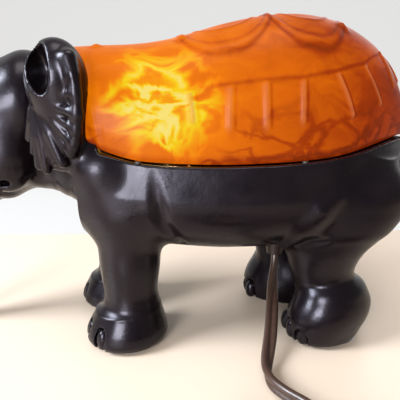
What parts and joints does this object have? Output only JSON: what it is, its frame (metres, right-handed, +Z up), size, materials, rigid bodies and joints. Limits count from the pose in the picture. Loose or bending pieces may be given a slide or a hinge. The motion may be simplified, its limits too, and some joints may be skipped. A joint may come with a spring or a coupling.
{
  "type": "figural table lamp",
  "caption": "Accent table lamp shaped as a walking elephant: hollow dark cast figure with a lift-off art-glass saddle shade, screw-base bulb, flat cord, in-line switch and plug.",
  "frame": {"origin": "on the table under the centre of the lamp's box, measured without the cord, switch, coil and plug", "axes": "head towards -X, tail towards +X, the elephant's left side towards -Y, +Z up"},
  "size_m": [0.3194, 0.2627, 0.1756],
  "materials": {
    "figure_lacquer": "gloss dark brown-black lacquer over a hollow casting",
    "tusk_horn": "satin cream resin",
    "felt": "matt black felt",
    "clear_bumper": "clear soft vinyl",
    "amber_glass": "mottled amber art glass, satin gloss, pressed relief",
    "zinc_steel": "zinc plated steel",
    "brass": "plain brass",
    "phenolic": "black phenolic moulding",
    "lead_insulation": "thin insulated wire",
    "bulb_glass": "clear bulb glass",
    "cord_vinyl": "dark brown vinyl, two parallel conductors",
    "moulded_brown": "moulded brown plastic",
    "tie_black": "black hook-and-loop strap"
  },
  "bodies": {
    "lamp": {"figure_body": "figure_lacquer", "figure_head": "figure_lacquer", "ear_left": "figure_lacquer", "ear_right": "figure_lacquer", "figure_tail": "figure_lacquer", "tusk_left": "tusk_horn", "tusk_right": "tusk_horn", "felt_pads": "felt", "shade_bumpers": "clear_bumper", "socket_bracket": "zinc_steel", "bracket_screws": "zinc_steel", "terminal_screws": "zinc_steel", "switch_screws": "zinc_steel", "switch_spindle": "zinc_steel", "threaded_pipe": "brass", "pipe_nuts": "brass", "screw_shell": "brass", "centre_contact": "brass", "switch_contacts": "brass", "plug_blades": "brass", "socket_cap": "phenolic", "socket_shell": "phenolic", "socket_leads": "lead_insulation", "lamp_cord": "cord_vinyl", "plug_cord": "cord_vinyl", "cord_coil": "cord_vinyl", "plug_lead": "cord_vinyl", "switch_base": "moulded_brown", "switch_cover": "moulded_brown", "plug_body": "moulded_brown", "cord_bushing": "moulded_brown", "coil_tie": "tie_black"},
    "shade": {"glass_shade": "amber_glass"},
    "bulb": {"bulb_glass": "bulb_glass", "bulb_base": "brass", "bulb_contact": "phenolic", "bulb_filament": "zinc_steel"},
    "switch_wheel": {"switch_wheel": "moulded_brown"}
  },
  "joints": [
    {"name": "shade_lift", "type": "slide", "parent": "lamp", "child": "shade", "axis": [0, 0, 1], "range_m": [0, 0.1]},
    {"name": "bulb_turn", "type": "hinge", "parent": "lamp", "child": "bulb", "pos_m": [-0.006, 0, 0.1], "axis": [0, 0, 1], "continuous": true},
    {"name": "switch_turn", "type": "hinge", "parent": "lamp", "child": "switch_wheel", "pos_m": [0.116, -0.1195, 0.0085], "axis": [0, 0, 1], "continuous": true}
  ]
}
